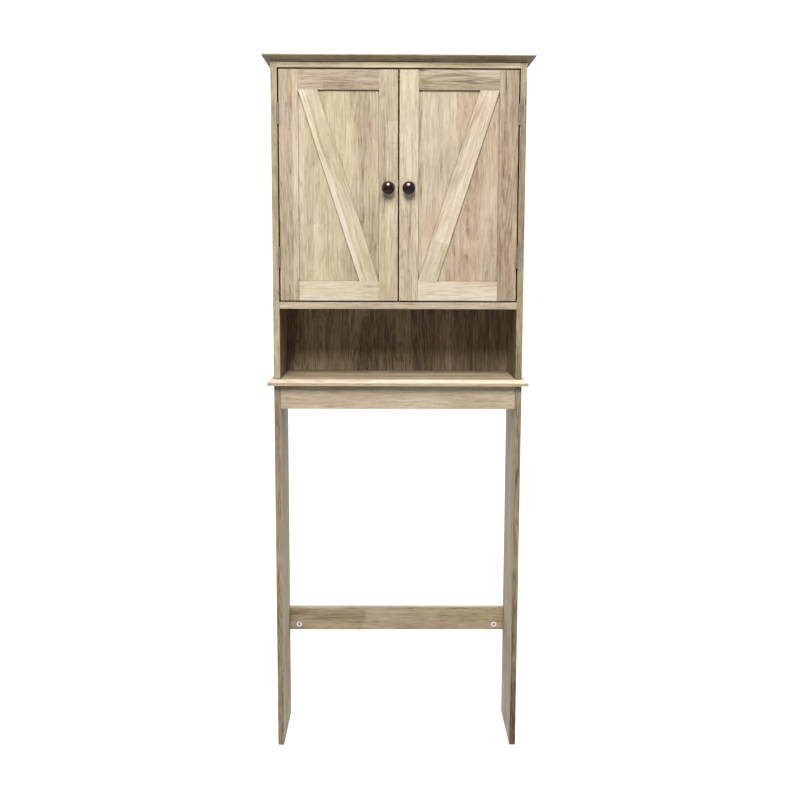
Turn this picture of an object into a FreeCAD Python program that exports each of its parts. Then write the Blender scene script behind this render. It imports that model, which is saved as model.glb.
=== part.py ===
import FreeCAD, Part
import Sketcher
import os
import re
from FreeCAD import Placement, Rotation, Vector

# A free-standing cabinet that straddles a toilet: two legs with a stretcher, a base
# board, an open niche, a two-door cupboard and a cornice.
# X runs to the right, -Y is the front, Z is up. The origin is the middle of the
# bounding box at floor level. All sizes are millimetres.

document = FreeCAD.newDocument("cabinet")

DRIVING_SIZES = {
    "body_width": 600,
    "body_depth": 205,
    "board_thick": 15,
    "edge_ease": 0.6,
    "leg_top": 920,
    "base_thick": 15,
    "base_overhang": 15,
    "base_lip": 7,
    "base_bevel": 10,
    "bevel_round": 2,
    "shelf_top": 1121,
    "shelf_thick": 16.3,
    "body_top": 1681,
    "cornice_thick": 13,
    "cornice_overhang": 19,
    "cornice_bead": 3,
    "cornice_lip": 2.5,
    "shadow_high": 2.6,
    "shadow_deep": 3,
    "apron_high": 58,
    "apron_setback": 3,
    "stretcher_low": 239,
    "stretcher_high": 62,
    "stretcher_cam_rise": 14.5,
    "back_thick": 3,
    "back_inset": 8,
    "groove_deep": 5,
    "door_gap": 3.5,
    "door_panel_thick": 10,
    "strip_thick": 5,
    "strip_ease": 0.4,
    "stile_wide": 45,
    "rail_high": 46.5,
    "brace_wide": 46,
    "knob_radius": 15.6,
    "knob_reach": 26,
    "knob_head_half": 8.5,
    "knob_neck_radius": 5,
    "knob_foot_radius": 7.5,
    "knob_foot_high": 5,
    "knob_high": 1390,
    "knob_screw_radius": 2,
    "hinge_inset": 102,
    "hinge_high": 48,
    "hinge_deep": 14,
    "leaf_thick": 1.2,
    "knuckle_radius": 2.6,
    "knuckle_gap": 0.2,
    "pin_radius": 1.25,
    "pin_play": 0.05,
    "pin_ahead": 3.5,
    "hinge_screw_radius": 1.5,
    "hinge_screw_long": 12,
    "hinge_screw_spread": 15,
    "hinge_screw_back": 9.5,
    "cam_radius": 7.5,
    "cam_deep": 12,
    "cam_setback": 25,
    "cam_play": 0.05,
    "cam_slot_reach": 3.4,
    "cam_slot_half": 1.2,
    "cam_slot_deep": 3,
    "bolt_radius": 3,
    "bolt_head_radius": 3.3,
    "bolt_grip": 10,
    "dowel_radius": 4,
    "dowel_long": 30,
    "dowel_grip": 10,
    "row_front": 35,
    "row_rear": 45,
    "dowel_step": 36,
    "shelf_inset": 25,
    "shelf_play": 1,
    "shelf_pin_radius": 2.5,
    "shelf_pin_deep": 9,
    "shelf_pin_long": 16,
    "shelf_pin_step": 32,
    "shelf_pin_high": 1393,
    "cornice_screw_x": 200,
    "cornice_screw_inset": 60,
    "cornice_screw_long": 23,
    "screw_radius": 1.6,
    "screw_head_radius": 3.2,
    "screw_head_high": 1.8,
    "catch_half": 24,
    "catch_deep": 18,
    "catch_high": 13,
    "magnet_x": 14,
    "magnet_wide": 12,
    "magnet_high": 8,
    "magnet_proud": 0.5,
    "strike_gap": 0.3,
    "strike_thick": 1.2,
    "strike_size": 20,
    "glide_radius": 6.5,
    "glide_high": 3,
    "glide_inset": 20,
    "glide_nail_radius": 1.2,
    "glide_nail_long": 12,
    "catch_screw_grip": 8,
    "bracket_screw_grip": 10,
    "bracket_x": 180,
    "bracket_wide": 20,
    "bracket_long": 30,
    "bracket_thick": 2,
    "bracket_hole_radius": 2.5,
    "bracket_hole_drop": 20,
}

size = document.addObject("Spreadsheet::Sheet", "Size")
for row, (alias, value) in enumerate(DRIVING_SIZES.items(), start=1):
    size.set(f"A{row}", alias)
    size.set(f"B{row}", str(value))
    size.setAlias(f"B{row}", alias)
document.recompute()

# Places that many pieces share, as formulas of the driving sizes.
FRONT = "((knob_reach - body_depth) / 2)"
REAR = "((knob_reach + body_depth) / 2)"
INNER = "(body_width / 2 - board_thick)"
BASE_TOP = "(leg_top + base_thick)"
SHELF_LOW = "(shelf_top - shelf_thick)"
CEILING = "(body_top - board_thick)"
DOOR_LOW = "(shelf_top + door_gap)"
DOOR_TOP = f"({CEILING} - door_gap)"
DOOR_WIDE = f"({INNER} - door_gap - door_gap / 2)"
DOOR_HIGH = f"({DOOR_TOP} - {DOOR_LOW})"
DOOR_REAR = f"({FRONT} + door_panel_thick + strip_thick)"
HINGE_X = f"(door_gap / 2 - {INNER})"
HALF_BOARD = "(board_thick / 2)"
BACK_FACE = f"({REAR} - back_inset - back_thick)"
BOLT_ROWS = ("row_front", "body_depth - row_rear")
DOWEL_ROWS = ("row_front + dowel_step", "body_depth - row_rear - dowel_step")
PIN_LEVELS = [f"shelf_pin_high + {step} * shelf_pin_step" for step in (-2, -1, 0, 1, 2)]
HINGE_LEVELS = (f"{DOOR_LOW} + hinge_inset", f"{DOOR_TOP} - hinge_inset")
CATCH_SCREW_Y = f"({DOOR_REAR} + catch_deep - 4)"

UP = Vector(0, 0, 1)
DOWN = Vector(0, 0, -1)
LEFT = Vector(-1, 0, 0)
RIGHT = Vector(1, 0, 0)
FORWARD = Vector(0, -1, 0)
BACKWARD = Vector(0, 1, 0)

nodes = []
board_sizes = {}


def bind(item, target, formula):
    """Bind a property to a formula of the sheet's aliases."""
    item.setExpression(target, re.sub(r"[a-z]+(_[a-z]+)*", r"Size.\g<0>", formula))


def place(item, corner, turn=None):
    """Turn an object and bind its position to three formulas."""
    item.Placement = Placement(Vector(), turn or Rotation())
    for axis, formula in zip("xyz", corner):
        bind(item, f"Placement.Base.{axis}", formula)


def keep(item, label):
    """Name an object as one of the sub-parts that are written out."""
    item.Label = label
    nodes.append(item)
    return item


def turned(x_to, z_to):
    """The rotation that takes X to x_to and Z to z_to."""
    return Rotation(x_to, z_to.cross(x_to), z_to, "ZXY")


# ---------------------------------------------------------------- sketches

def new_sketch(body, name, role, level="0"):
    """A sketch on one of the body's own origin planes, raised by a formula."""
    sketch = body.newObject("Sketcher::SketchObject", name)
    plane = next(item for item in body.Origin.OriginFeatures if item.Role == role)
    sketch.AttachmentSupport = [(plane, "")]
    sketch.MapMode = "FlatFace"
    bind(sketch, "AttachmentOffset.Base.z", level)
    return sketch


def pin_point(sketch, edge, end, spot, name):
    """Hold a point of a sketch at two formulas from the sketch's origin."""
    for axis, formula in zip("XY", spot):
        number = sketch.addConstraint(Sketcher.Constraint(f"Distance{axis}", -1, 1, edge, end, 1.0))
        sketch.renameConstraint(number, f"{name}{axis}")
        bind(sketch, f"Constraints.{name}{axis}", formula)


def outline(body, name, role, corners, level="0"):
    """A closed outline of straight edges through corners given by formulas."""
    sketch = new_sketch(body, name, role, level)
    count = len(corners)
    rough = [Vector(*(evaluate(formula) for formula in corner), 0) for corner in corners]
    for index in range(count):
        sketch.addGeometry(Part.LineSegment(rough[index], rough[(index + 1) % count]), False)
    for index in range(count):
        sketch.addConstraint(Sketcher.Constraint("Coincident", index, 2, (index + 1) % count, 1))
    for index, corner in enumerate(corners):
        pin_point(sketch, index, 1, corner, f"corner{index}")
    return sketch


def evaluate(formula):
    """The value that a formula has with the driving sizes."""
    values = {alias: float(size.get(alias)) for alias in DRIVING_SIZES}
    for alias in sorted(values, key=len, reverse=True):
        formula = re.sub(rf"\b{alias}\b", repr(values[alias]), formula)
    total = document.addObject("App::FeaturePython", "scratch")
    total.addProperty("App::PropertyFloat", "Value")
    total.setExpression("Value", formula)
    total.recompute()
    answer = total.Value
    document.removeObject(total.Name)
    return answer


def rectangle(x_low, y_low, x_high, y_high):
    """The corners of a rectangle, in order."""
    return [(x_low, y_low), (x_high, y_low), (x_high, y_high), (x_low, y_high)]


# ------------------------------------------------------------------- boards

def start_body(label, corner):
    body = keep(document.addObject("PartDesign::Body", label), label)
    place(body, corner)
    return body


def ease(body, thickness="edge_ease", kind="Chamfer", wanted=None):
    """Break the sharp edges of the body's tip, or only those that are wanted."""
    document.recompute()
    base = body.Tip
    edges = [f"Edge{number}" for number, edge in enumerate(base.Shape.Edges, start=1)
             if wanted is None or wanted(edge)]
    feature = body.newObject(f"PartDesign::{kind}", f"{body.Name}_{kind}")
    feature.Base = (base, edges)
    bind(feature, "Radius" if kind == "Fillet" else "Size", thickness)


def board(label, corner, extent, easing="edge_ease"):
    """A rectangular board whose sharp edges are eased."""
    body = start_body(label, corner)
    board_sizes[label] = extent
    sketch = outline(body, f"{label}_outline", "XY_Plane", rectangle("0", "0", extent[0], extent[1]))
    pad = body.newObject("PartDesign::Pad", f"{label}_pad")
    pad.Profile = sketch
    bind(pad, "Length", extent[2])
    ease(body, easing)
    return body


# For each face of a board: the sketch plane, the axis whose extent raises it (none for
# the near face), and whether the cut has to be reversed to point into the board.
FACES = {
    "left": ("YZ_Plane", None, True),
    "right": ("YZ_Plane", 0, False),
    "front": ("XZ_Plane", None, False),
    "rear": ("XZ_Plane", 1, True),
    "bottom": ("XY_Plane", None, True),
    "top": ("XY_Plane", 2, False),
}


def cut(body, sketch, depth, reverse):
    """Pocket a sketch to a depth and make sure that it removes material."""
    document.recompute()
    before = body.Shape.Volume
    pocket = body.newObject("PartDesign::Pocket", f"{sketch.Name}_cut")
    pocket.Profile = sketch
    pocket.Reversed = reverse
    bind(pocket, "Length", depth)
    document.recompute()
    if not body.Shape.Volume < before:
        raise RuntimeError(f"{pocket.Name} cuts nothing")


def face_sketch_level(body, face):
    role, axis, reverse = FACES[face]
    level = "0"
    if axis is not None:
        level = board_sizes[body.Label][axis]
    if role == "XZ_Plane" and axis is not None:
        level = f"-({level})"
    return role, level, reverse


def drill(body, face, spots, radius, depth, name):
    """Round holes of one size in a face; spots are (first, second) axis formulas."""
    role, level, reverse = face_sketch_level(body, face)
    sketch = new_sketch(body, f"{body.Label}_{name}", role, level)
    for index, spot in enumerate(spots):
        rough = Vector(evaluate(spot[0]), evaluate(spot[1]), 0)
        sketch.addGeometry(Part.Circle(rough, UP, evaluate(radius)), False)
        pin_point(sketch, index, 3, spot, f"hole{index}")
        number = sketch.addConstraint(Sketcher.Constraint("Radius", index, 1.0))
        sketch.renameConstraint(number, f"radius{index}")
        bind(sketch, f"Constraints.radius{index}", radius)
    cut(body, sketch, depth, reverse)


def groove(body, face, corners, depth, name):
    """A rectangular groove in a face."""
    role, level, reverse = face_sketch_level(body, face)
    sketch = outline(body, f"{body.Label}_{name}", role, corners, level)
    cut(body, sketch, depth, reverse)


# ------------------------------------------------------- primitives and groups

def box(name, corner, extent):
    item = document.addObject("Part::Box", name)
    for target, formula in zip(("Length", "Width", "Height"), extent):
        bind(item, target, formula)
    place(item, corner)
    return item


def cylinder(name, corner, radius, height, turn=None):
    item = document.addObject("Part::Cylinder", name)
    bind(item, "Radius", radius)
    bind(item, "Height", height)
    place(item, corner, turn)
    return item


def cone(name, corner, low_radius, high_radius, height, turn=None):
    item = document.addObject("Part::Cone", name)
    bind(item, "Radius1", low_radius)
    bind(item, "Radius2", high_radius)
    bind(item, "Height", height)
    place(item, corner, turn)
    return item


def fuse(name, items):
    item = document.addObject("Part::MultiFuse", name)
    item.Shapes = items
    item.Refine = True
    return item


def minus(name, base, tools):
    item = document.addObject("Part::Cut", name)
    item.Base = base
    item.Tool = tools[0] if len(tools) == 1 else fuse(f"{name}_tools", tools)
    item.Refine = True
    return item


def compound(name, items):
    item = document.addObject("Part::Compound", name)
    item.Links = items
    return item


def mirrored(name, source):
    """The right-hand copy of a left-hand piece."""
    item = document.addObject("Part::Mirroring", name)
    item.Source = source
    item.Normal = RIGHT
    return item


def copies(name, source, spots):
    """Copies of one piece; each spot is three formulas and a rotation."""
    links = []
    for index, (corner, turn) in enumerate(spots):
        link = document.addObject("App::Link", f"{name}_{index}")
        link.LinkedObject = source
        place(link, corner, turn)
        links.append(link)
    return compound(name, links)


def both_sides(label, left_group):
    """One node that holds a left-hand group and its mirror image."""
    return keep(compound(label, [left_group, mirrored(f"{label}_right", left_group)]), label)


def cross_slot(name, reach, half, low, depth):
    """Two crossed boxes about the Z axis that cut a driver's cross into a head."""
    return [
        box(f"{name}_slot_x", (f"-{reach}", f"-{half}", low), (f"2 * {reach}", f"2 * {half}", depth)),
        box(f"{name}_slot_y", (f"-{half}", f"-{reach}", low), (f"2 * {half}", f"2 * {reach}", depth)),
    ]


def screw(name, head_radius, shank_radius, length, sunk=False):
    """A screw driven along +Z: its head's seat or face is at Z = 0."""
    if sunk:
        head = cone(f"{name}_head", ("0", "0", "0"), head_radius, shank_radius,
                    f"{head_radius} - {shank_radius}")
    else:
        head = cone(f"{name}_head", ("0", "0", "-screw_head_high"), f"{head_radius} * 0.7", head_radius,
                    "screw_head_high")
    shank_length = f"{length} - 2 * {shank_radius}"
    shank = cylinder(f"{name}_shank", ("0", "0", "0"), shank_radius, shank_length)
    point = cone(f"{name}_point", ("0", "0", shank_length), shank_radius, f"{shank_radius} / 4",
                 f"2 * {shank_radius}")
    body = fuse(f"{name}_blank", [head, shank, point])
    slot_top = "0" if sunk else "-screw_head_high"
    slot_depth = "leaf_thick / 2" if sunk else "screw_head_high / 2"
    reach = f"({head_radius} * 0.55)"
    half = f"({head_radius} * 0.16)"
    return minus(name, body, cross_slot(name, reach, half, slot_top, slot_depth))


# ------------------------------------------------------------- carcass boards

def start_moulded_board(label, overhang, thickness, level):
    """A board that stands out past the body's outline at the front and both sides."""
    body = start_body(label, (f"-body_width / 2 - {overhang}", f"{FRONT} - {overhang}", level))
    board_sizes[label] = (f"(body_width + 2 * {overhang})", f"(body_depth + {overhang})", thickness)
    return body


def inset_outline(body, name, inset, level):
    """The outline of a moulded board, drawn in from its front and side edges."""
    wide, deep = board_sizes[body.Label][:2]
    return outline(body, name, "XY_Plane", rectangle(inset, inset, f"{wide} - {inset}", deep), level)


def layer(body, name, inset, level, height):
    """A straight-edged layer of a moulded board."""
    pad = body.newObject("PartDesign::Pad", name)
    pad.Profile = inset_outline(body, f"{name}_outline", inset, level)
    bind(pad, "Length", height)


def flare(body, name, low, high):
    """A sloping layer between two (inset, level) outlines."""
    loft = body.newObject("PartDesign::AdditiveLoft", name)
    loft.Profile = inset_outline(body, f"{name}_low", *low)
    loft.Sections = [inset_outline(body, f"{name}_high", *high)]
    loft.Ruled = True


def make_cornice():
    """A bead on the body's outline and a flare out to a thin lip on top."""
    body = start_moulded_board("cornice_board", "cornice_overhang", "cornice_thick", "body_top")
    lip_low = "(cornice_thick - cornice_lip)"
    layer(body, "cornice_bead", "cornice_overhang", "0", "cornice_bead")
    flare(body, "cornice_flare", ("cornice_overhang", "cornice_bead"), ("0", lip_low))
    layer(body, "cornice_lip", "0", lip_low, "cornice_lip")
    top = evaluate("cornice_thick")
    ease(body, "edge_ease", "Chamfer", lambda edge: edge.BoundBox.ZMin > top - 0.1)
    spots = [(f"cornice_overhang + body_width / 2 + {sign} * cornice_screw_x", f"cornice_overhang + {y}")
             for sign in (-1, 1) for y in ("cornice_screw_inset", "body_depth - cornice_screw_inset")]
    drill(body, "bottom", spots, "screw_radius", "cornice_screw_long - board_thick", "screw_holes")


def make_base():
    """The wider board between cupboard and legs, bevelled from its lower lip to its top."""
    body = start_moulded_board("base_board", "base_overhang", "base_thick", "leg_top")
    layer(body, "base_lip", "0", "0", "base_lip")
    flare(body, "base_flare", ("0", "base_lip"), ("base_bevel", "base_thick"))
    rear = evaluate("body_depth + base_overhang")
    top = evaluate("base_thick")
    ease(body, "bevel_round", "Fillet",
         lambda edge: edge.BoundBox.ZMin > top - 0.1 and edge.BoundBox.YMin < rear - 1)
    spots = [(f"base_overhang + body_width / 2 + {sign} * (body_width / 2 - {HALF_BOARD})",
              f"base_overhang + {row}") for sign in (-1, 1) for row in BOLT_ROWS]
    drill(body, "bottom", spots, "bolt_radius + cam_play", "base_thick", "bolt_holes")


def shadow_line(item, wide, high):
    """A rebate along the front edge under the cornice, which leaves a dark line there."""
    groove(item, "front", rectangle("0", f"{high} - shadow_high", wide, high), "shadow_deep", "shadow_line")


def make_upper_side():
    """The left side of the cupboard, grooved for the back panel and bored for hardware."""
    high = f"(body_top - {BASE_TOP})"
    side = board("left_upper_side", ("-body_width / 2", FRONT, BASE_TOP),
                 ("board_thick", "body_depth", high))
    shadow_line(side, "board_thick", high)
    groove_low = "body_depth - back_inset - back_thick"
    groove_corners = rectangle(groove_low, "0", f"{groove_low} + back_thick", high)
    groove(side, "right", groove_corners, "groove_deep", "back_groove")
    levels = (f"{high} - {HALF_BOARD}", f"{SHELF_LOW} + {HALF_BOARD} - {BASE_TOP}")
    drill(side, "right", [(row, level) for level in levels for row in BOLT_ROWS],
          "bolt_radius", "bolt_grip", "bolt_holes")
    drill(side, "right", [(row, level) for level in levels for row in DOWEL_ROWS],
          "dowel_radius", "dowel_grip", "dowel_holes")
    drill(side, "right", [(row, f"{level} - {BASE_TOP}") for level in PIN_LEVELS for row in BOLT_ROWS],
          "shelf_pin_radius", "shelf_pin_deep", "shelf_pin_holes")
    drill(side, "right", [(row, "cam_setback") for row in BOLT_ROWS], "cam_radius", "cam_deep", "cam_holes")
    drill(side, "bottom", [(HALF_BOARD, row) for row in BOLT_ROWS],
          "bolt_head_radius", "cam_setback", "base_bolt_holes")
    screws = [("hinge_screw_back", f"{level} - {BASE_TOP} + {sign} * hinge_screw_spread")
              for level in HINGE_LEVELS for sign in (-1, 1)]
    drill(side, "right", screws, "hinge_screw_radius", "hinge_screw_long", "hinge_screw_holes")
    keep(mirrored("right_upper_side", side), "right_upper_side")


def make_leg():
    """The left leg board, bored for the base bolts, the apron and the stretcher."""
    leg = board("left_leg", ("-body_width / 2", FRONT, "glide_high"),
                ("board_thick", "body_depth", "leg_top - glide_high"))
    high = "leg_top - glide_high"
    drill(leg, "right", [(row, f"{high} - cam_setback") for row in BOLT_ROWS],
          "cam_radius", "cam_deep", "cam_holes")
    drill(leg, "top", [(HALF_BOARD, row) for row in BOLT_ROWS],
          "bolt_head_radius", "cam_setback", "base_bolt_holes")
    apron_y = f"apron_setback + {HALF_BOARD}"
    stretcher_y = f"body_depth - {HALF_BOARD}"
    drill(leg, "right", [(apron_y, f"{high} - apron_high / 2"),
                         (stretcher_y, "stretcher_low + stretcher_cam_rise - glide_high")],
          "bolt_radius", "bolt_grip", "bolt_holes")
    drill(leg, "right", [(apron_y, f"{high} - apron_high / 4 * 3"),
                         (stretcher_y, "stretcher_low + stretcher_high * 3 / 4 - glide_high")],
          "dowel_radius", "dowel_grip", "dowel_holes")
    drill(leg, "bottom", [(HALF_BOARD, "glide_inset"), (HALF_BOARD, "body_depth - glide_inset")],
          "glide_nail_radius", "glide_nail_long", "glide_holes")
    keep(mirrored("right_leg", leg), "right_leg")


def bore_ends(item, bolt_spots, dowel_spots):
    """Bolt and dowel holes in both ends of a cross board."""
    for face in ("left", "right"):
        drill(item, face, bolt_spots, "bolt_head_radius", "cam_setback", f"{face}_bolt_holes")
        drill(item, face, dowel_spots, "dowel_radius", "dowel_long - dowel_grip", f"{face}_dowel_holes")


def make_cross_boards():
    """The boards that run between the sides: top, fixed shelf, apron and stretcher."""
    wide = f"2 * {INNER}"
    ends = ("cam_setback", f"{wide} - cam_setback")
    rows = [(row, HALF_BOARD) for row in BOLT_ROWS]
    dowels = [(row, HALF_BOARD) for row in DOWEL_ROWS]
    cams = [(end, row) for end in ends for row in BOLT_ROWS]

    top = board("top_panel", (f"-{INNER}", FRONT, CEILING),
                (wide, "body_depth", "board_thick"))
    shadow_line(top, wide, "board_thick")
    drill(top, "top", cams, "cam_radius", "cam_deep", "cam_holes")
    bore_ends(top, rows, dowels)
    screws = [(f"{INNER} + {sign} * cornice_screw_x", y)
              for sign in (-1, 1) for y in ("cornice_screw_inset", "body_depth - cornice_screw_inset")]
    drill(top, "bottom", screws, "screw_head_radius", "board_thick", "cornice_screw_holes")
    groove_corners = rectangle("0", "body_depth - back_inset - back_thick", wide, "body_depth - back_inset")
    groove(top, "bottom", groove_corners, "groove_deep", "back_groove")
    catch = [(f"{INNER} + {sign} * catch_half / 2", f"{CATCH_SCREW_Y} - {FRONT}") for sign in (-1, 1)]
    drill(top, "bottom", catch, "screw_radius", "catch_screw_grip", "catch_screw_holes")
    brackets = [(f"{INNER} + {sign} * bracket_x", f"{BACK_FACE} - {FRONT} - bracket_hole_drop")
                for sign in (-1, 1)]
    drill(top, "bottom", brackets, "screw_radius", "bracket_screw_grip", "bracket_screw_holes")

    shelf = board("middle_shelf", (f"-{INNER}", FRONT, SHELF_LOW),
                  (wide, f"{BACK_FACE} - {FRONT}", "shelf_thick"))
    drill(shelf, "bottom", cams, "cam_radius", "cam_deep", "cam_holes")
    bore_ends(shelf, rows, dowels)

    apron = board("apron", (f"-{INNER}", f"{FRONT} + apron_setback", "leg_top - apron_high"),
                  (wide, "board_thick", "apron_high"))
    drill(apron, "rear", [(end, "apron_high / 2") for end in ends], "cam_radius", "cam_deep", "cam_holes")
    bore_ends(apron, [(HALF_BOARD, "apron_high / 2")], [(HALF_BOARD, "apron_high / 4")])

    stretcher = board("stretcher", (f"-{INNER}", f"{REAR} - board_thick", "stretcher_low"),
                      (wide, "board_thick", "stretcher_high"))
    drill(stretcher, "front", [(end, "stretcher_cam_rise") for end in ends],
          "cam_radius", "cam_deep", "cam_holes")
    bore_ends(stretcher, [(HALF_BOARD, "stretcher_cam_rise")], [(HALF_BOARD, "stretcher_high * 3 / 4")])


def make_back():
    """A thin sheet held in the grooves of the sides and the top panel."""
    wide = f"2 * ({INNER} + groove_deep)"
    high = f"{CEILING} + groove_deep - {BASE_TOP}"
    back = board("back_panel", (f"-{INNER} - groove_deep", BACK_FACE, BASE_TOP),
                 (wide, "back_thick", high), "strip_ease / 2")
    holes = [(f"{INNER} + groove_deep + {sign} * bracket_x", f"{CEILING} - bracket_hole_drop - {BASE_TOP}")
             for sign in (-1, 1)]
    drill(back, "front", holes, "bracket_hole_radius", "back_thick", "wall_holes")


def make_adjustable_shelf():
    """A loose shelf that rests on four pins."""
    corner = (f"shelf_play - {INNER}", f"{FRONT} + shelf_inset", "shelf_pin_high + shelf_pin_radius")
    deep = f"{BACK_FACE} - {FRONT} - shelf_inset - shelf_play"
    board("adjustable_shelf", corner, (f"2 * ({INNER} - shelf_play)", deep, "board_thick"))


# ---------------------------------------------------------------------- doors

def mirror_door_piece(left):
    label = left.Label.replace("left_", "right_", 1)
    keep(mirrored(label, left), label)


def make_brace(x_low, z_low):
    """The sloping strip from the top hinge-side corner to the bottom meeting corner."""
    brace = start_body("left_brace", (x_low, FRONT, z_low))
    span = f"({DOOR_WIDE} - 2 * stile_wide)"
    rise = f"({DOOR_HIGH} - 2 * rail_high)"
    corners = [("0", rise), (f"{span} - brace_wide", "0"), (span, "0"), ("brace_wide", rise)]
    sketch = outline(brace, "brace_outline", "XZ_Plane", corners)
    pad = brace.newObject("PartDesign::Pad", "brace_pad")
    pad.Profile = sketch
    pad.Reversed = True
    bind(pad, "Length", "strip_thick")
    ease(brace, "strip_ease")
    return brace


def make_door_boards():
    """A flat panel with applied strips: two stiles, two rails and a brace."""
    door_x = f"(door_gap - {INNER})"
    panel_y = f"{FRONT} + strip_thick"
    panel = board("left_door_panel", (door_x, panel_y, DOOR_LOW),
                  (DOOR_WIDE, "door_panel_thick", DOOR_HIGH), "strip_ease")
    drill(panel, "front", [(f"{DOOR_WIDE} - stile_wide / 2", f"knob_high - {DOOR_LOW}")],
          "knob_screw_radius + pin_play", "door_panel_thick", "knob_hole")
    edge_screws = [("hinge_screw_back - strip_thick", f"{level} - {DOOR_LOW} + {sign} * hinge_screw_spread")
                   for level in HINGE_LEVELS for sign in (-1, 1)]
    drill(panel, "left", edge_screws, "hinge_screw_radius", "hinge_screw_long", "hinge_screw_holes")
    strike_spot = (f"{DOOR_WIDE} + door_gap / 2 - magnet_x", f"{DOOR_HIGH} - catch_high / 2 + door_gap")
    drill(panel, "rear", [strike_spot], "screw_radius", "door_panel_thick - 2", "strike_screw_hole")

    strip = ("stile_wide", "strip_thick", DOOR_HIGH)
    hinge_stile = board("left_hinge_stile", (door_x, FRONT, DOOR_LOW), strip, "strip_ease")
    meeting_x = f"{door_x} + {DOOR_WIDE} - stile_wide"
    meeting_stile = board("left_meeting_stile", (meeting_x, FRONT, DOOR_LOW), strip, "strip_ease")
    drill(meeting_stile, "front", [("stile_wide / 2", f"knob_high - {DOOR_LOW}")],
          "knob_screw_radius + pin_play", "strip_thick", "knob_hole")
    rail_x = f"{door_x} + stile_wide"
    rail = (f"{DOOR_WIDE} - 2 * stile_wide", "strip_thick", "rail_high")
    top_rail = board("left_top_rail", (rail_x, FRONT, f"{DOOR_TOP} - rail_high"), rail, "strip_ease")
    bottom_rail = board("left_bottom_rail", (rail_x, FRONT, DOOR_LOW), rail, "strip_ease")
    brace = make_brace(rail_x, f"{DOOR_LOW} + rail_high")
    for piece in (panel, hinge_stile, meeting_stile, top_rail, bottom_rail, brace):
        mirror_door_piece(piece)


def make_knob():
    """A mushroom knob on a flared foot, held by a screw from behind the door."""
    knob_x = "-door_gap / 2 - stile_wide / 2"
    outward = turned(RIGHT, FORWARD)
    head = document.addObject("Part::Ellipsoid", "knob_head")
    bind(head, "Radius1", "knob_head_half")
    bind(head, "Radius2", "knob_radius")
    bind(head, "Radius3", "knob_radius")
    place(head, ("0", "0", "knob_reach - knob_head_half"))
    foot = cone("knob_foot", ("0", "0", "0"), "knob_foot_radius", "knob_neck_radius", "knob_foot_high")
    neck = cylinder("knob_neck", ("0", "0", "0"), "knob_neck_radius", "knob_reach - knob_head_half")
    thread = cylinder("knob_thread", ("0", "0", "0"), "knob_screw_radius", "knob_reach / 2")
    blank = fuse("knob_blank", [head, foot, neck])
    source = minus("knob_source", blank, [thread])
    knob = keep(copies("left_knob", source, [((knob_x, FRONT, "knob_high"), outward)]), "left_knob")
    screw_long = "door_panel_thick + strip_thick + knob_reach / 2"
    knob_screw = screw("knob_screw_source", "screw_head_radius * 1.25", "knob_screw_radius", screw_long)
    screw_node = keep(copies("left_knob_screw", knob_screw,
                             [((knob_x, DOOR_REAR, "knob_high"), outward)]), "left_knob_screw")
    mirror_door_piece(knob)
    mirror_door_piece(screw_node)


def make_leaf(name, x_low, screw_x, screw_turn, parity):
    """One hinge leaf around the pin axis: a plate, its knuckles and their tabs.

    The pin axis is Z through the origin; the plate starts at the body's front plane.
    """
    knuckle_high = "(hinge_high / 5)"
    low = "(-hinge_high / 2)"
    pieces = [box(f"{name}_plate", (x_low, "pin_ahead", low), ("leaf_thick", "hinge_deep", "hinge_high"))]
    high = f"{knuckle_high} - knuckle_gap"
    tab = ("leaf_thick", "pin_ahead + 1", high)
    for step in range(parity, 5, 2):
        bottom = f"{low} + {step} * {knuckle_high} + knuckle_gap / 2"
        pieces.append(cylinder(f"{name}_knuckle_{step}", ("0", "0", bottom), "knuckle_radius", high))
        pieces.append(box(f"{name}_tab_{step}", (x_low, "0", bottom), tab))
    tools = [cylinder(f"{name}_bore", ("0", "0", low), "pin_radius + pin_play", "hinge_high")]
    for index, sign in enumerate((-1, 1)):
        spot = (screw_x, "pin_ahead + hinge_screw_back", f"{sign} * hinge_screw_spread")
        tools.append(cone(f"{name}_sink_{index}", spot, "hinge_screw_radius + leaf_thick",
                          "hinge_screw_radius", "leaf_thick", screw_turn))
    return minus(name, fuse(f"{name}_blank", pieces), tools)


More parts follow.
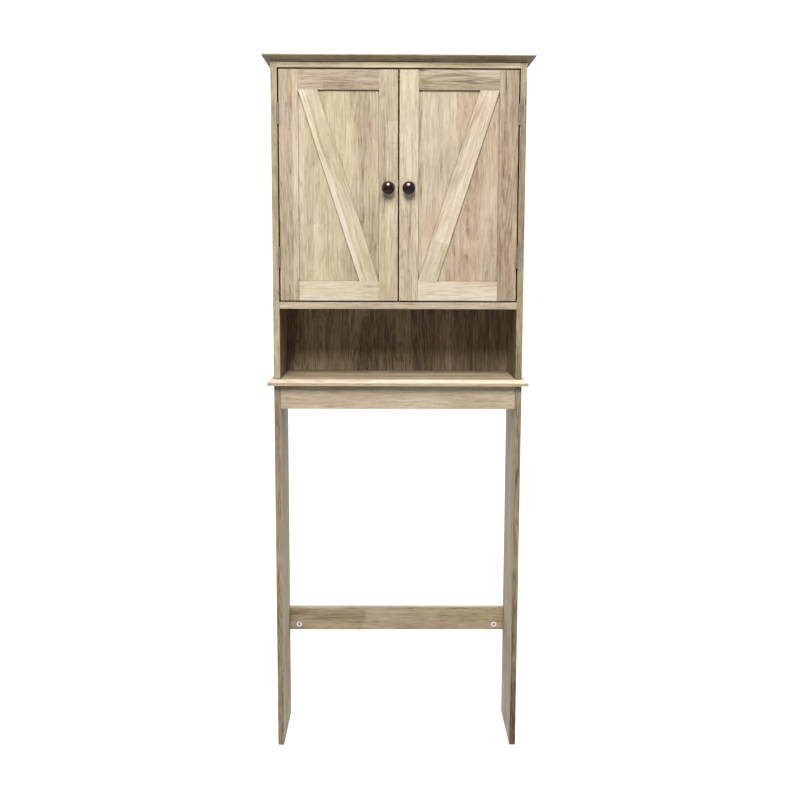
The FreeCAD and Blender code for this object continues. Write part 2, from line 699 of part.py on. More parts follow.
def make_hinges():
    """Butt hinges: frame leaf on the side, door leaf on the door's edge, one pin each."""
    slack = "(door_gap / 2 - leaf_thick)"
    frame_turn = turned(UP, LEFT)
    door_turn = turned(UP, RIGHT)
    axis = [((HINGE_X, f"{FRONT} - pin_ahead", level), None) for level in HINGE_LEVELS]
    frame_leaf = make_leaf("frame_leaf", "-door_gap / 2", f"-{slack}", frame_turn, 0)
    door_leaf = make_leaf("door_leaf", slack, slack, door_turn, 1)
    both_sides("hinge_frame_leaves", copies("frame_leaves_left", frame_leaf, axis))
    door_leaves = keep(copies("left_hinge_leaves", door_leaf, axis), "left_hinge_leaves")
    shaft = cylinder("pin_shaft", ("0", "0", "-hinge_high / 2"), "pin_radius", "hinge_high")
    cap_low = cone("pin_cap_low", ("0", "0", "-hinge_high / 2 - 1"), "pin_radius", "pin_radius * 2", "1")
    cap_high = cone("pin_cap_high", ("0", "0", "hinge_high / 2"), "pin_radius * 2", "pin_radius", "1")
    pin = fuse("pin_source", [shaft, cap_low, cap_high])
    both_sides("hinge_pins", copies("pins_left", pin, axis))

    screw_source = screw("hinge_screw_source", "(hinge_screw_radius + leaf_thick)", "hinge_screw_radius",
                         "hinge_screw_long", True)
    screw_y = f"{FRONT} + hinge_screw_back"
    levels = [f"{level} + {sign} * hinge_screw_spread" for level in HINGE_LEVELS for sign in (-1, 1)]
    frame_spots = [((f"{HINGE_X} - {slack}", screw_y, level), frame_turn) for level in levels]
    door_spots = [((f"{HINGE_X} + {slack}", screw_y, level), door_turn) for level in levels]
    both_sides("hinge_frame_screws", copies("frame_screws_left", screw_source, frame_spots))
    door_screws = keep(copies("left_hinge_screws", screw_source, door_spots), "left_hinge_screws")
    mirror_door_piece(door_leaves)
    mirror_door_piece(door_screws)


# ---------------------------------------------------------------- small pieces

def make_catch():
    """A double magnetic catch under the top panel and a strike plate on each door."""
    body_y = f"{DOOR_REAR} + strike_thick + strike_gap + magnet_proud"
    shell = box("catch_shell", ("-catch_half", body_y, f"{CEILING} - catch_high"),
                ("2 * catch_half", "catch_deep", "catch_high"))
    magnet_z = f"{CEILING} - catch_high / 2 - magnet_high / 2"
    magnet_y = f"{body_y} - magnet_proud"
    extent = ("magnet_wide", "magnet_high", "magnet_high")
    pockets = []
    magnets = []
    for index, sign in enumerate((-1, 1)):
        corner = (f"{sign} * magnet_x - magnet_wide / 2", magnet_y, magnet_z)
        pockets.append(box(f"magnet_pocket_{index}", corner, extent))
        magnets.append(box(f"magnet_{index}", corner, extent))
    screw_spots = [(f"{sign} * catch_half / 2", CATCH_SCREW_Y, f"{CEILING} - catch_high")
                   for sign in (-1, 1)]
    for index, spot in enumerate(screw_spots):
        pockets.append(cylinder(f"catch_bore_{index}", spot, "screw_radius", "catch_high"))
    keep(minus("catch_body", shell, pockets), "catch_body")
    keep(compound("catch_magnets", magnets), "catch_magnets")
    source = screw("catch_screw_source", "screw_head_radius", "screw_radius",
                   "catch_high + catch_screw_grip")
    keep(copies("catch_screws", source, [(spot, None) for spot in screw_spots]), "catch_screws")

    strike_z = f"{CEILING} - catch_high / 2"
    plate = box("strike_blank", ("-magnet_x - strike_size / 2", DOOR_REAR, f"{strike_z} - catch_high / 3"),
                ("strike_size", "strike_thick", "catch_high * 2 / 3"))
    inward = turned(RIGHT, FORWARD)
    bore = cylinder("strike_bore", ("-magnet_x", f"{DOOR_REAR} + strike_thick", strike_z), "screw_radius",
                    "strike_thick", inward)
    sink = cone("strike_sink", ("-magnet_x", f"{DOOR_REAR} + strike_thick", strike_z),
                "screw_radius + strike_thick", "screw_radius", "strike_thick", inward)
    strike = keep(minus("left_strike_plate", plate, [bore, sink]), "left_strike_plate")
    source = screw("strike_screw_source", "(screw_radius + strike_thick)", "screw_radius",
                   "door_panel_thick - 1", True)
    spot = ("-magnet_x", f"{DOOR_REAR} + strike_thick", strike_z)
    strike_screw = keep(copies("left_strike_screw", source, [(spot, inward)]), "left_strike_screw")
    mirror_door_piece(strike)
    mirror_door_piece(strike_screw)


def make_cams():
    """Cam locks with their bolts, double-ended base bolts and dowels.

    Each is made along +X from the cam's axis, half a board below the cam's face.
    """
    barrel = cylinder("cam_barrel", ("0", "0", "-cam_deep"), "cam_radius - cam_play", "cam_deep")
    along = turned(DOWN, RIGHT)
    level = f"-{HALF_BOARD}"
    throat = cylinder("cam_throat", ("-bolt_head_radius", "0", level), "bolt_head_radius + cam_play",
                      "cam_radius + bolt_head_radius", along)
    slots = cross_slot("cam", "cam_slot_reach", "cam_slot_half", "-cam_slot_deep", "cam_slot_deep")
    cam = minus("cam_source", barrel, [throat, *slots])

    head_spot = ("-bolt_head_radius + cam_play", "0", level)
    head_radius = "bolt_head_radius - cam_play"
    head = cylinder("bolt_head", head_spot, head_radius, "bolt_head_radius", along)
    neck = cylinder("bolt_neck", head_spot, "bolt_radius * 0.7", "cam_setback", along)
    shank = cylinder("bolt_shank", ("cam_radius", "0", level), "bolt_radius - cam_play",
                     "cam_setback - cam_radius + bolt_grip", along)
    bolt = fuse("bolt_source", [head, neck, shank])

    rod = cylinder("rod", ("cam_radius", "0", level), "bolt_radius - cam_play",
                   "2 * cam_setback + base_thick - 2 * cam_radius", along)
    long_neck = cylinder("rod_neck", head_spot, "bolt_radius * 0.7",
                         f"2 * cam_setback + base_thick + 2 * ({head_radius})", along)
    far_head = cylinder("rod_far_head", ("2 * cam_setback + base_thick", "0", level), head_radius,
                        head_radius, along)
    near_head = cylinder("rod_near_head", head_spot, head_radius, head_radius, along)
    long_bolt = fuse("long_bolt_source", [rod, long_neck, far_head, near_head])

    end_x = f"cam_setback - {INNER}"
    rows = [f"{FRONT} + {row}" for row in BOLT_ROWS]
    single = [((end_x, row, "body_top"), turned(LEFT, UP)) for row in rows]
    single += [((end_x, row, SHELF_LOW), turned(LEFT, DOWN)) for row in rows]
    single.append(((end_x, f"{FRONT} + apron_setback + board_thick", "leg_top - apron_high / 2"),
                   turned(LEFT, BACKWARD)))
    single.append(((end_x, f"{REAR} - board_thick", "stretcher_low + stretcher_cam_rise"),
                   turned(LEFT, FORWARD)))
    upper = [((f"-{INNER}", row, f"{BASE_TOP} + cam_setback"), turned(DOWN, RIGHT)) for row in rows]
    lower = [((f"-{INNER}", row, "leg_top - cam_setback"), turned(UP, RIGHT)) for row in rows]
    both_sides("cam_locks", copies("cams_left", cam, single + upper + lower))
    both_sides("cam_bolts", copies("bolts_left", bolt, single))
    both_sides("base_bolts", copies("long_bolts_left", long_bolt, upper))

    dowel = cylinder("dowel_source", ("0", "0", "0"), "dowel_radius", "dowel_long")
    dowel_x = f"-{INNER} - dowel_grip"
    spots = [((dowel_x, f"{FRONT} + {row}", f"{low} + {HALF_BOARD}"), along)
             for low in (CEILING, SHELF_LOW) for row in DOWEL_ROWS]
    apron_y = f"{FRONT} + apron_setback + {HALF_BOARD}"
    spots.append(((dowel_x, apron_y, "leg_top - apron_high / 4 * 3"), along))
    spots.append(((dowel_x, f"{REAR} - {HALF_BOARD}", "stretcher_low + stretcher_high * 3 / 4"), along))
    both_sides("dowels", copies("dowels_left", dowel, spots))


def make_loose_fixings():
    """Shelf pins, cornice screws, foot glides and the wall brackets."""
    pin = cylinder("shelf_pin_source", ("0", "0", "0"), "shelf_pin_radius", "shelf_pin_long")
    spots = [((f"-{INNER} - shelf_pin_deep", f"{FRONT} + {row}", "shelf_pin_high"), turned(DOWN, RIGHT))
             for row in BOLT_ROWS]
    both_sides("shelf_pins", copies("shelf_pins_left", pin, spots))

    source = screw("cornice_screw_source", "screw_head_radius", "screw_radius", "cornice_screw_long - 1",
                   True)
    spots = [(("-cornice_screw_x", y, CEILING), None)
             for y in (f"{FRONT} + cornice_screw_inset", f"{REAR} - cornice_screw_inset")]
    both_sides("cornice_screws", copies("cornice_screws_left", source, spots))

    disc = cone("glide_disc", ("0", "0", "0"), "glide_radius - 1", "glide_radius", "glide_high")
    nail = cylinder("glide_nail", ("0", "0", "glide_high"), "glide_nail_radius", "glide_nail_long")
    glide = fuse("glide_source", [disc, nail])
    spots = [((f"{HALF_BOARD} - body_width / 2", y, "0"), None)
             for y in (f"{FRONT} + glide_inset", f"{REAR} - glide_inset")]
    both_sides("foot_glides", copies("glides_left", glide, spots))

    plate_x = "-bracket_x - bracket_wide / 2"
    flat = box("bracket_flat", (plate_x, f"{BACK_FACE} - bracket_long", f"{CEILING} - bracket_thick"),
               ("bracket_wide", "bracket_long", "bracket_thick"))
    upright = box("bracket_upright", (plate_x, f"{BACK_FACE} - bracket_thick", f"{CEILING} - bracket_long"),
                  ("bracket_wide", "bracket_thick", "bracket_long"))
    wall_bore = cylinder("bracket_wall_bore", ("-bracket_x", BACK_FACE, f"{CEILING} - bracket_hole_drop"),
                         "bracket_hole_radius", "bracket_thick", turned(RIGHT, FORWARD))
    screw_spot = ("-bracket_x", f"{BACK_FACE} - bracket_hole_drop", f"{CEILING} - bracket_thick")
    top_bore = cylinder("bracket_top_bore", screw_spot, "screw_radius", "bracket_thick")
    blank = fuse("bracket_blank", [flat, upright])
    both_sides("wall_brackets", minus("bracket_left", blank, [wall_bore, top_bore]))
    source = screw("bracket_screw_source", "screw_head_radius", "screw_radius",
                   "bracket_thick + bracket_screw_grip")
    both_sides("wall_bracket_screws", copies("bracket_screws_left", source, [(screw_spot, None)]))


make_cornice()
make_base()
make_upper_side()
make_leg()
make_cross_boards()
make_back()
make_adjustable_shelf()
make_door_boards()
make_knob()
make_hinges()
make_catch()
make_cams()
make_loose_fixings()
document.recompute()

for item in document.Objects:
    if "Invalid" in item.State or "Error" in item.State:
        raise RuntimeError(f"{item.Name} failed: {item.State}")
for node in nodes:
    if node.Shape.isNull() or not node.Shape.isValid():
        raise RuntimeError(f"{node.Label} has no valid shape")

os.makedirs("parts", exist_ok=True)
for node in nodes:
    node.Shape.exportStep(f"parts/{node.Label}.step")
    print(f"{node.Label}: {len(node.Shape.Solids)} solids, {node.Shape.Volume / 1000:.1f} cm3")
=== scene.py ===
import math
import random

import bpy
from mathutils import Matrix, Vector


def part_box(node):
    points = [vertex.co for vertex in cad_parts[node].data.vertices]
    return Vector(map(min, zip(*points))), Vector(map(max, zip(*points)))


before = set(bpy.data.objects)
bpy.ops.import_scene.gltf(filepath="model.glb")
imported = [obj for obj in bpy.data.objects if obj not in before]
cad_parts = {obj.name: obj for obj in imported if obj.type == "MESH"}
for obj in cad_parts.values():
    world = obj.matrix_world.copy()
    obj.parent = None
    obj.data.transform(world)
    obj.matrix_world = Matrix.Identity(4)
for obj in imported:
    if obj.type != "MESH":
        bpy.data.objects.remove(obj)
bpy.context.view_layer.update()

# The cabinet's looks: printed rustic oak on every board, bare hardboard on the back, dark bronze
# knobs, dull nickel hinges, zinc fittings, a plain pale floor, soft studio light and a camera in
# front.
# Lengths are in metres. X points right, -Y to the front, +Y to the wall, and Z up.

# ------------------------------------------------------------------ driving values

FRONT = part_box("left_leg")[0][1]

SENSOR_MM = 36.0
LENS_MM = 49.581
CAMERA_ASIDE = -0.0226
CAMERA_DISTANCE = 2.6492
CAMERA_HIGH = 1.2443
CAMERA_PITCH = math.radians(7.733)
CAMERA_YAW = math.radians(0.598)
CAMERA_ROLL = math.radians(0.195)
CLIP_NEAR = 0.05
CLIP_FAR = 100.0

BRACE_LOW, BRACE_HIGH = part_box("left_brace")
BRACE_WIDE = 0.046
BRACE_TILT = math.atan((BRACE_HIGH[0] - BRACE_LOW[0] - BRACE_WIDE) / (BRACE_HIGH[2] - BRACE_LOW[2]))

SHARP_ANGLE = math.radians(28)
WHITE = (1.0, 1.0, 1.0, 1.0)


def linear(channel):
    """The linear value of an sRGB channel, both from 0 to 1."""
    if channel > 0.04045:
        return ((channel + 0.055) / 1.055) ** 2.4
    return channel / 12.92


def tone(code):
    """A linear colour from an sRGB hex code."""
    channels = [linear(int(code[i:i + 2], 16) / 255) for i in (0, 2, 4)]
    return (*channels, 1.0)


# ------------------------------------------------------------------ node helpers

class Graph:
    """A short way to write node trees."""

    def __init__(self, tree):
        self.tree = tree

    def set_input(self, node, key, value):
        if isinstance(value, bpy.types.NodeSocket):
            self.tree.links.new(value, node.inputs[key])
        else:
            node.inputs[key].default_value = value

    def add(self, kind, inputs=None, **settings):
        node = self.tree.nodes.new(kind)
        for key, value in settings.items():
            setattr(node, key, value)
        for key, value in (inputs or {}).items():
            self.set_input(node, key, value)
        return node

    def math(self, operation, first, second=0.0, third=0.0):
        node = self.add("ShaderNodeMath", {0: first, 1: second, 2: third}, operation=operation)
        return node.outputs[0]

    def vector(self, operation, first, second):
        return self.add("ShaderNodeVectorMath", {0: first, 1: second}, operation=operation).outputs

    def own_place(self):
        """Where a point is on its own object, wherever the object has moved to."""
        return self.add("ShaderNodeTexCoord").outputs["Object"]

    def stretch(self, vector, across, along):
        return self.vector("MULTIPLY", vector, (across, across, along))[0]

    def noise(self, vector, across, along, detail=2.0, rough=0.5, twist=0.0, output="Fac"):
        """Noise with its features per metre across and along the grain."""
        node = self.add("ShaderNodeTexNoise", {
            "Vector": self.stretch(vector, across, along), "Scale": 1.0, "Detail": detail,
            "Roughness": rough, "Distortion": twist})
        return node.outputs[output]

    def speckle(self, vector, scale, detail, rough):
        """Noise with the same features per metre in every direction."""
        return self.noise(vector, scale, scale, detail, rough)

    def cells(self, vector, across, along, randomness, **settings):
        """A random tone, a random hue and the distance from the middle, for cells along the grain."""
        node = self.add("ShaderNodeTexVoronoi", {
            "Vector": self.stretch(vector, across, along), "Scale": 1.0, "Randomness": randomness},
            **settings)
        split = self.add("ShaderNodeSeparateColor", {"Color": node.outputs["Color"]})
        return split.outputs[0], split.outputs[1], node.outputs["Distance"]

    def spread(self, value, low, high, new_low=0.0, new_high=1.0):
        node = self.add("ShaderNodeMapRange", {
            "Value": value, "From Min": low, "From Max": high, "To Min": new_low, "To Max": new_high})
        return node.outputs["Result"]

    def mix(self, factor, first, second, blend="MIX"):
        node = self.add("ShaderNodeMix", data_type="RGBA", blend_type=blend)
        for key, value in ((0, factor), (6, first), (7, second)):
            self.set_input(node, key, value)
        return node.outputs[2]

    def ramp(self, value, stops):
        node = self.add("ShaderNodeValToRGB", {"Fac": value})
        elements = node.color_ramp.elements
        while len(elements) < len(stops):
            elements.new(0.5)
        for element, (place, code) in zip(elements, stops):
            element.position = place
            element.color = tone(code)
        return node.outputs["Color"]

    def edge(self, radius, flat=0.995, sharp=0.80):
        """1 along sharp edges, 0 on open faces."""
        bevel = self.add("ShaderNodeBevel", {"Radius": radius}, samples=4)
        geometry = self.add("ShaderNodeNewGeometry")
        dot = self.vector("DOT_PRODUCT", bevel.outputs[0], geometry.outputs["Normal"])
        return self.spread(dot["Value"], flat, sharp)

    def crevice(self, reach, open_sky=0.80, shut_sky=0.15):
        """1 in narrow gaps and inside corners, 0 on open faces: where shade is painted."""
        node = self.add("ShaderNodeAmbientOcclusion", {"Distance": reach}, samples=8)
        return self.spread(node.outputs["AO"], open_sky, shut_sky)


def new_material(name):
    """A material with an empty node tree, and its graph."""
    material = bpy.data.materials.new(name)
    material.use_nodes = True
    material.node_tree.nodes.clear()
    return material, Graph(material.node_tree)


def finish_material(graph, colour, roughness, height, bump_distance, bump_strength, **constants):
    bump = graph.add("ShaderNodeBump", {
        "Height": height, "Distance": bump_distance, "Strength": bump_strength})
    shader = graph.add("ShaderNodeBsdfPrincipled", {
        "Base Color": colour, "Roughness": roughness, "Normal": bump.outputs[0]})
    for key, value in constants.items():
        shader.inputs[key.replace("_", " ")].default_value = value
    graph.add("ShaderNodeOutputMaterial", {"Surface": shader.outputs[0]})


# ------------------------------------------------------------------ rustic oak

# The print's noises: features per metre across and along the grain, then detail, roughness
# and twist.
OAK_NOISES = {
    "sway": (6.0, 2.2, 2.0),
    "cloud": (11.0, 5.0, 3.0, 0.55),
    "stain": (8.0, 3.0, 2.0, 0.5),
    "figure": (13.0, 1.5, 1.0, 0.4),
    "ring_area": (10.0, 2.4, 2.0, 0.5),
    "streak": (95.0, 6.5, 3.0, 0.6),
    "line": (260.0, 17.0, 3.0, 0.7),
    "fibre": (640.0, 36.0, 3.0, 0.65),
    "dash": (210.0, 36.0, 3.0, 0.55),
    "pore": (900.0, 60.0, 2.0, 0.5),
    "crack": (120.0, 6.0, 3.0, 0.6, 0.4),
    "saw": (16.0, 420.0, 2.0, 0.6),
    "saw_area": (24.0, 15.0),
}
# The print's cells: features per metre across and along the grain, then randomness.
WIDE_PLANKS = (19.0, 2.1, 0.9)
THIN_PLANKS = (47.0, 3.1, 0.9)
KNOTS = (9.0, 4.5, 1.0)

SWAY_REACH = (0.014, 0.014, 0.0)
RINGS_PER_FIGURE = 230.0
KNOT_SHARE = (0.62, 1.0)
KNOT_SIZES = (0.0, 0.10)
KNOT_FADE = 0.035

# The part of a noise's range that is spread to 0 and 1, for soft tones, lines, sparse marks,
# rings, and the areas that have rings or saw marks.
SOFT = (0.3, 0.7)
LINES = (0.34, 0.66)
MARKS = (0.60, 0.72)
RINGS = (0.2, 1.0)
RING_AREAS = (0.44, 0.60)
SAW_MARKS = (0.5, 0.7)
SAW_AREAS = (0.54, 0.66)
BUMPS = (0.2, 0.8)

# How much each layer lightens the print, or darkens it where the weight is negative.
BASE_TONE = 0.18
WIDE_PLANK_WEIGHT = 0.23
OAK_WEIGHTS = {
    "thin_plank": 0.07, "cloud": 0.14, "streak": 0.12, "line": 0.22, "fibre": 0.16, "rings": -0.13,
    "crack": -0.24, "dash": -0.17, "pore": -0.09, "saw": -0.06, "knot": -0.45,
}
OAK_TONES = (
    (0.02, "5d4c38"), (0.22, "8f7b60"), (0.42, "b3a083"), (0.60, "cab89b"), (0.80, "dfd0b5"),
    (1.00, "eee2cd"),
)

THIN_PLANK_HUE = 0.25
WIDE_PLANK_HUE = 0.35
STAIN_HUE = 0.4
PINK_HUES = (0.52, 0.86)
OLIVE_HUES = (0.48, 0.14)
PINK_TINT = (1.02, 0.93, 0.92, 1.0)
OLIVE_TINT = (0.95, 0.965, 0.86, 1.0)

OAK_ROUGHNESS = (0.62, 0.50)
PORE_ROUGHNESS = 0.12
FLAT_HEIGHT = 0.5
FIBRE_HEIGHT = 0.4
PORE_HEIGHT = -0.5
CRACK_HEIGHT = -0.6


def oak_group():
    """The oak print: colour, roughness and height of a point whose grain runs along Z."""
    tree = bpy.data.node_groups.new("rustic_oak", "ShaderNodeTree")
    for name, kind in (("Vector", "Vector"), ("Depth", "Float"), ("Warmth", "Float")):
        tree.interface.new_socket(name, in_out="INPUT", socket_type=f"NodeSocket{kind}")
    for name, kind in (("Color", "Color"), ("Roughness", "Float"), ("Height", "Float")):
        tree.interface.new_socket(name, in_out="OUTPUT", socket_type=f"NodeSocket{kind}")
    g = Graph(tree)
    source = g.add("NodeGroupInput").outputs
    place = source["Vector"]

    # The grain wanders sideways by a few millimetres along each plank.
    sway = g.noise(place, *OAK_NOISES["sway"], output="Color")
    centred = g.vector("SUBTRACT", sway, (0.5, 0.5, 0.5))[0]
    wavy = g.vector("ADD", place, g.vector("MULTIPLY", centred, SWAY_REACH)[0])[0]

    # Planks and soft clouds of tone.
    wide_tone, wide_hue, _ = g.cells(place, *WIDE_PLANKS, distance="CHEBYCHEV")
    thin_tone, thin_hue, _ = g.cells(wavy, *THIN_PLANKS, distance="CHEBYCHEV")
    cloud = g.noise(place, *OAK_NOISES["cloud"])
    stain = g.noise(place, *OAK_NOISES["stain"])

    # Annual rings are the contours of a stretched noise, so they close into arches.
    figure = g.noise(wavy, *OAK_NOISES["figure"])
    rings = g.math("SINE", g.math("MULTIPLY", figure, RINGS_PER_FIGURE))
    ring_area = g.spread(g.noise(place, *OAK_NOISES["ring_area"]), *RING_AREAS)
    rings = g.math("MULTIPLY", g.spread(rings, *RINGS), ring_area)

    # Fine grain, and sparse dark marks.
    streak = g.spread(g.noise(wavy, *OAK_NOISES["streak"]), *SOFT)
    line = g.spread(g.noise(wavy, *OAK_NOISES["line"]), *LINES)
    fibre = g.noise(wavy, *OAK_NOISES["fibre"])
    dash = g.spread(g.noise(wavy, *OAK_NOISES["dash"]), *MARKS)
    pore = g.spread(g.noise(wavy, *OAK_NOISES["pore"]), *MARKS)
    crack = g.spread(g.noise(wavy, *OAK_NOISES["crack"]), *MARKS)
    saw_area = g.spread(g.noise(place, *OAK_NOISES["saw_area"]), *SAW_AREAS)
    saw = g.math("MULTIPLY", g.spread(g.noise(place, *OAK_NOISES["saw"]), *SAW_MARKS), saw_area)

    # A knot sits in the middle of the few cells whose tone is high.
    knot_tone, _, knot_distance = g.cells(wavy, *KNOTS)
    knot_size = g.spread(knot_tone, *KNOT_SHARE, *KNOT_SIZES)
    knot = g.spread(g.math("SUBTRACT", knot_size, knot_distance), 0.0, KNOT_FADE)

    layers = {
        "thin_plank": thin_tone, "cloud": g.spread(cloud, *SOFT), "streak": streak, "line": line,
        "fibre": g.spread(fibre, *SOFT), "rings": rings, "crack": crack, "dash": dash, "pore": pore,
        "saw": saw, "knot": knot,
    }
    value = g.math("MULTIPLY_ADD", wide_tone, WIDE_PLANK_WEIGHT, BASE_TONE)
    for name, weight in OAK_WEIGHTS.items():
        value = g.math("MULTIPLY_ADD", layers[name], weight, value)
    value = g.math("SUBTRACT", value, source["Depth"])

    wide_hue = g.math("MULTIPLY", wide_hue, WIDE_PLANK_HUE)
    hue = g.math("MULTIPLY_ADD", thin_hue, THIN_PLANK_HUE, wide_hue)
    hue = g.math("MULTIPLY_ADD", g.spread(stain, *LINES), STAIN_HUE, hue)
    hue = g.math("ADD", hue, source["Warmth"])
    colour = g.ramp(value, OAK_TONES)
    colour = g.mix(g.spread(hue, *PINK_HUES), colour, PINK_TINT, "MULTIPLY")
    colour = g.mix(g.spread(hue, *OLIVE_HUES), colour, OLIVE_TINT, "MULTIPLY")

    roughness = g.spread(streak, 0.0, 1.0, *OAK_ROUGHNESS)
    roughness = g.math("MULTIPLY_ADD", pore, PORE_ROUGHNESS, roughness)
    height = g.math("MULTIPLY_ADD", g.spread(fibre, *BUMPS), FIBRE_HEIGHT, FLAT_HEIGHT)
    height = g.math("MULTIPLY_ADD", pore, PORE_HEIGHT, height)
    height = g.math("MULTIPLY_ADD", crack, CRACK_HEIGHT, height)
    g.add("NodeGroupOutput", {"Color": colour, "Roughness": roughness, "Height": height})
    return tree


OAK = oak_group()
OAK_BUMP = 0.00025
OAK_BUMP_STRENGTH = 0.6
WORN = tone("e4d6bf")
WORN_EDGE = 0.0012
RUB_NOISE = {"scale": 60.0, "detail": 3.0, "rough": 0.6}
RUB_RANGE = (0.35, 0.65)
RUB_STRENGTHS = (0.3, 1.0)
USUAL_WEAR = 0.35
PALE_PLANK_WIDE = 0.012
PALE_PLANK_FADE = 0.0004
PALE_PLANK_LIFT = 0.17
# Painted shade: a dark brown mixed into the colour in narrow gaps and inside corners, where shade
# falls.
CREVICE_SHADE_COLOUR = tone("2e241a")
OAK_CREVICE_SHADE = 0.9
OAK_CREVICE_SHADE_REACH = 0.006


def oak(name, turn_y, place, depth=0.0, warmth=0.0, worn=USUAL_WEAR, pale_side=None):
    """Oak print on one board; turn_y takes the grain's direction to Z.

    pale_side is a point on one long edge and the direction into the board from it: the
    print has a paler plank along that edge.
    """
    material, g = new_material(name)
    coordinates = g.own_place()
    mapping = g.add("ShaderNodeMapping", {
        "Vector": coordinates, "Rotation": (0.0, turn_y, 0.0), "Location": place})
    if pale_side:
        start, inward = (Vector(item) for item in pale_side)
        along = g.vector("DOT_PRODUCT", coordinates, inward)["Value"]
        edge = start.dot(inward) + PALE_PLANK_WIDE
        depth = g.spread(along, edge, edge + PALE_PLANK_FADE, depth - PALE_PLANK_LIFT, depth)
    print_node = g.add("ShaderNodeGroup", node_tree=OAK)
    for key, value in (("Vector", mapping.outputs[0]), ("Depth", depth), ("Warmth", warmth)):
        g.set_input(print_node, key, value)
    rub = g.spread(g.speckle(coordinates, **RUB_NOISE), *RUB_RANGE, *RUB_STRENGTHS)
    wear = g.math("MULTIPLY", g.math("MULTIPLY", g.edge(WORN_EDGE), rub), worn)
    colour = g.mix(wear, print_node.outputs["Color"], WORN)
    # Painted shade darkens the print in gaps and inside corners.
    painted_shade = g.math("MULTIPLY", g.crevice(OAK_CREVICE_SHADE_REACH), OAK_CREVICE_SHADE)
    colour = g.mix(painted_shade, colour, CREVICE_SHADE_COLOUR)
    finish_material(g, colour, print_node.outputs["Roughness"], print_node.outputs["Height"],
                    OAK_BUMP, OAK_BUMP_STRENGTH)
    return material


# ------------------------------------------------------------------ other materials

METAL_CLOUDS = {"scale": 120.0, "detail": 4.0, "rough": 0.6}
METAL_PITS = {"scale": 1400.0, "detail": 3.0, "rough": 0.6}
METAL_SPOTS = (0.40, 0.66)
METAL_WORN_EDGE = 0.0006
METAL_RUB_RANGE = (0.3, 0.6)
METAL_RUB_STRENGTHS = (0.25, 0.8)
METAL_CREVICE_SHADE_REACH = 0.004
METAL_PIT_STRENGTH = 0.5
CLOUD_GLOSS = 0.14
PIT_GLOSS = 0.06

PLASTIC_CLOUDS = {"scale": 90.0, "detail": 3.0, "rough": 0.6}
PLASTIC_GRAIN = {"scale": 2200.0, "detail": 2.0, "rough": 0.5}
PLASTIC_DIRT = (0.35, 0.75)
PLASTIC_BUMP = 0.00006
PLASTIC_BUMP_STRENGTH = 0.6
GLOSSIER = -0.06
DULLER = 0.08

FIBRES_ACROSS = 700.0
CLUMPS_ACROSS = 150.0
CLUMPS_PER_FIBRE = 0.25
BOARD_CLOUDS = {"scale": 14.0, "detail": 4.0, "rough": 0.6}
FIBRE_SHARE = 0.6
CLUMP_SHARE = 0.45
FLECKS = (0.40, 0.68)
PALE_CLOUDS = (0.35, 0.70)
PALE_MIX = 0.5
BOARD_ROUGHNESS = (0.7, 0.86)
BOARD_BUMP = 0.00015
BOARD_BUMP_STRENGTH = 0.5


def metal(name, colour, worn_colour, roughness, spots, spot_mix, bump=0.00005, plated=1.0, crevice_shade=0.6,
          **coat):
    """Plated metal with uneven gloss, faint pitting, rubbed edges and painted shade in its recesses.
    """
    material, g = new_material(name)
    coordinates = g.own_place()
    cloud = g.speckle(coordinates, **METAL_CLOUDS)
    pits = g.speckle(coordinates, **METAL_PITS)
    spotted = g.math("MULTIPLY", g.spread(cloud, *METAL_SPOTS), spot_mix)
    final = g.mix(spotted, tone(colour), tone(spots))
    rub = g.spread(cloud, *METAL_RUB_RANGE, *METAL_RUB_STRENGTHS)
    final = g.mix(g.math("MULTIPLY", g.edge(METAL_WORN_EDGE), rub), final, tone(worn_colour))
    # Painted shade in recesses, such as the cam locks' slots.
    final = g.mix(g.math("MULTIPLY", g.crevice(METAL_CREVICE_SHADE_REACH), crevice_shade), final, CREVICE_SHADE_COLOUR)
    gloss = g.math("MULTIPLY_ADD", g.spread(cloud, *SOFT), CLOUD_GLOSS, roughness - CLOUD_GLOSS / 2)
    gloss = g.math("MULTIPLY_ADD", g.spread(pits, *SOFT), PIT_GLOSS, gloss)
    finish_material(g, final, gloss, pits, bump, METAL_PIT_STRENGTH, Metallic=plated, **coat)
    return material


def plastic(name, colour, darker, roughness):
    """Moulded plastic with a fine grain and slight dirt."""
    material, g = new_material(name)
    coordinates = g.own_place()
    cloud = g.speckle(coordinates, **PLASTIC_CLOUDS)
    grain = g.speckle(coordinates, **PLASTIC_GRAIN)
    final = g.mix(g.spread(cloud, *PLASTIC_DIRT), tone(colour), tone(darker))
    gloss = g.spread(grain, *SOFT, roughness + GLOSSIER, roughness + DULLER)
    finish_material(g, final, gloss, grain, PLASTIC_BUMP, PLASTIC_BUMP_STRENGTH)
    return material


def raw_board(name, base, fleck, pale, along):
    """Unfaced fibreboard or beech: fine fibres, clumps and flecks."""
    material, g = new_material(name)
    coordinates = g.own_place()
    fibre = g.noise(coordinates, FIBRES_ACROSS, along, detail=5.0, rough=0.7)
    clump = g.noise(coordinates, CLUMPS_ACROSS, along * CLUMPS_PER_FIBRE, detail=3.0, rough=0.7)
    cloud = g.speckle(coordinates, **BOARD_CLOUDS)
    fleck_place = g.math("MULTIPLY_ADD", clump, CLUMP_SHARE, g.math("MULTIPLY", fibre, FIBRE_SHARE))
    flecked = g.mix(g.spread(fleck_place, *FLECKS), tone(base), tone(fleck))
    cloudy = g.math("MULTIPLY", g.spread(cloud, *PALE_CLOUDS), PALE_MIX)
    final = g.mix(cloudy, flecked, tone(pale))
    roughness = g.spread(fibre, *SOFT, *BOARD_ROUGHNESS)
    finish_material(g, final, roughness, fibre, BOARD_BUMP, BOARD_BUMP_STRENGTH)
    return material


# ------------------------------------------------------------------ who wears what

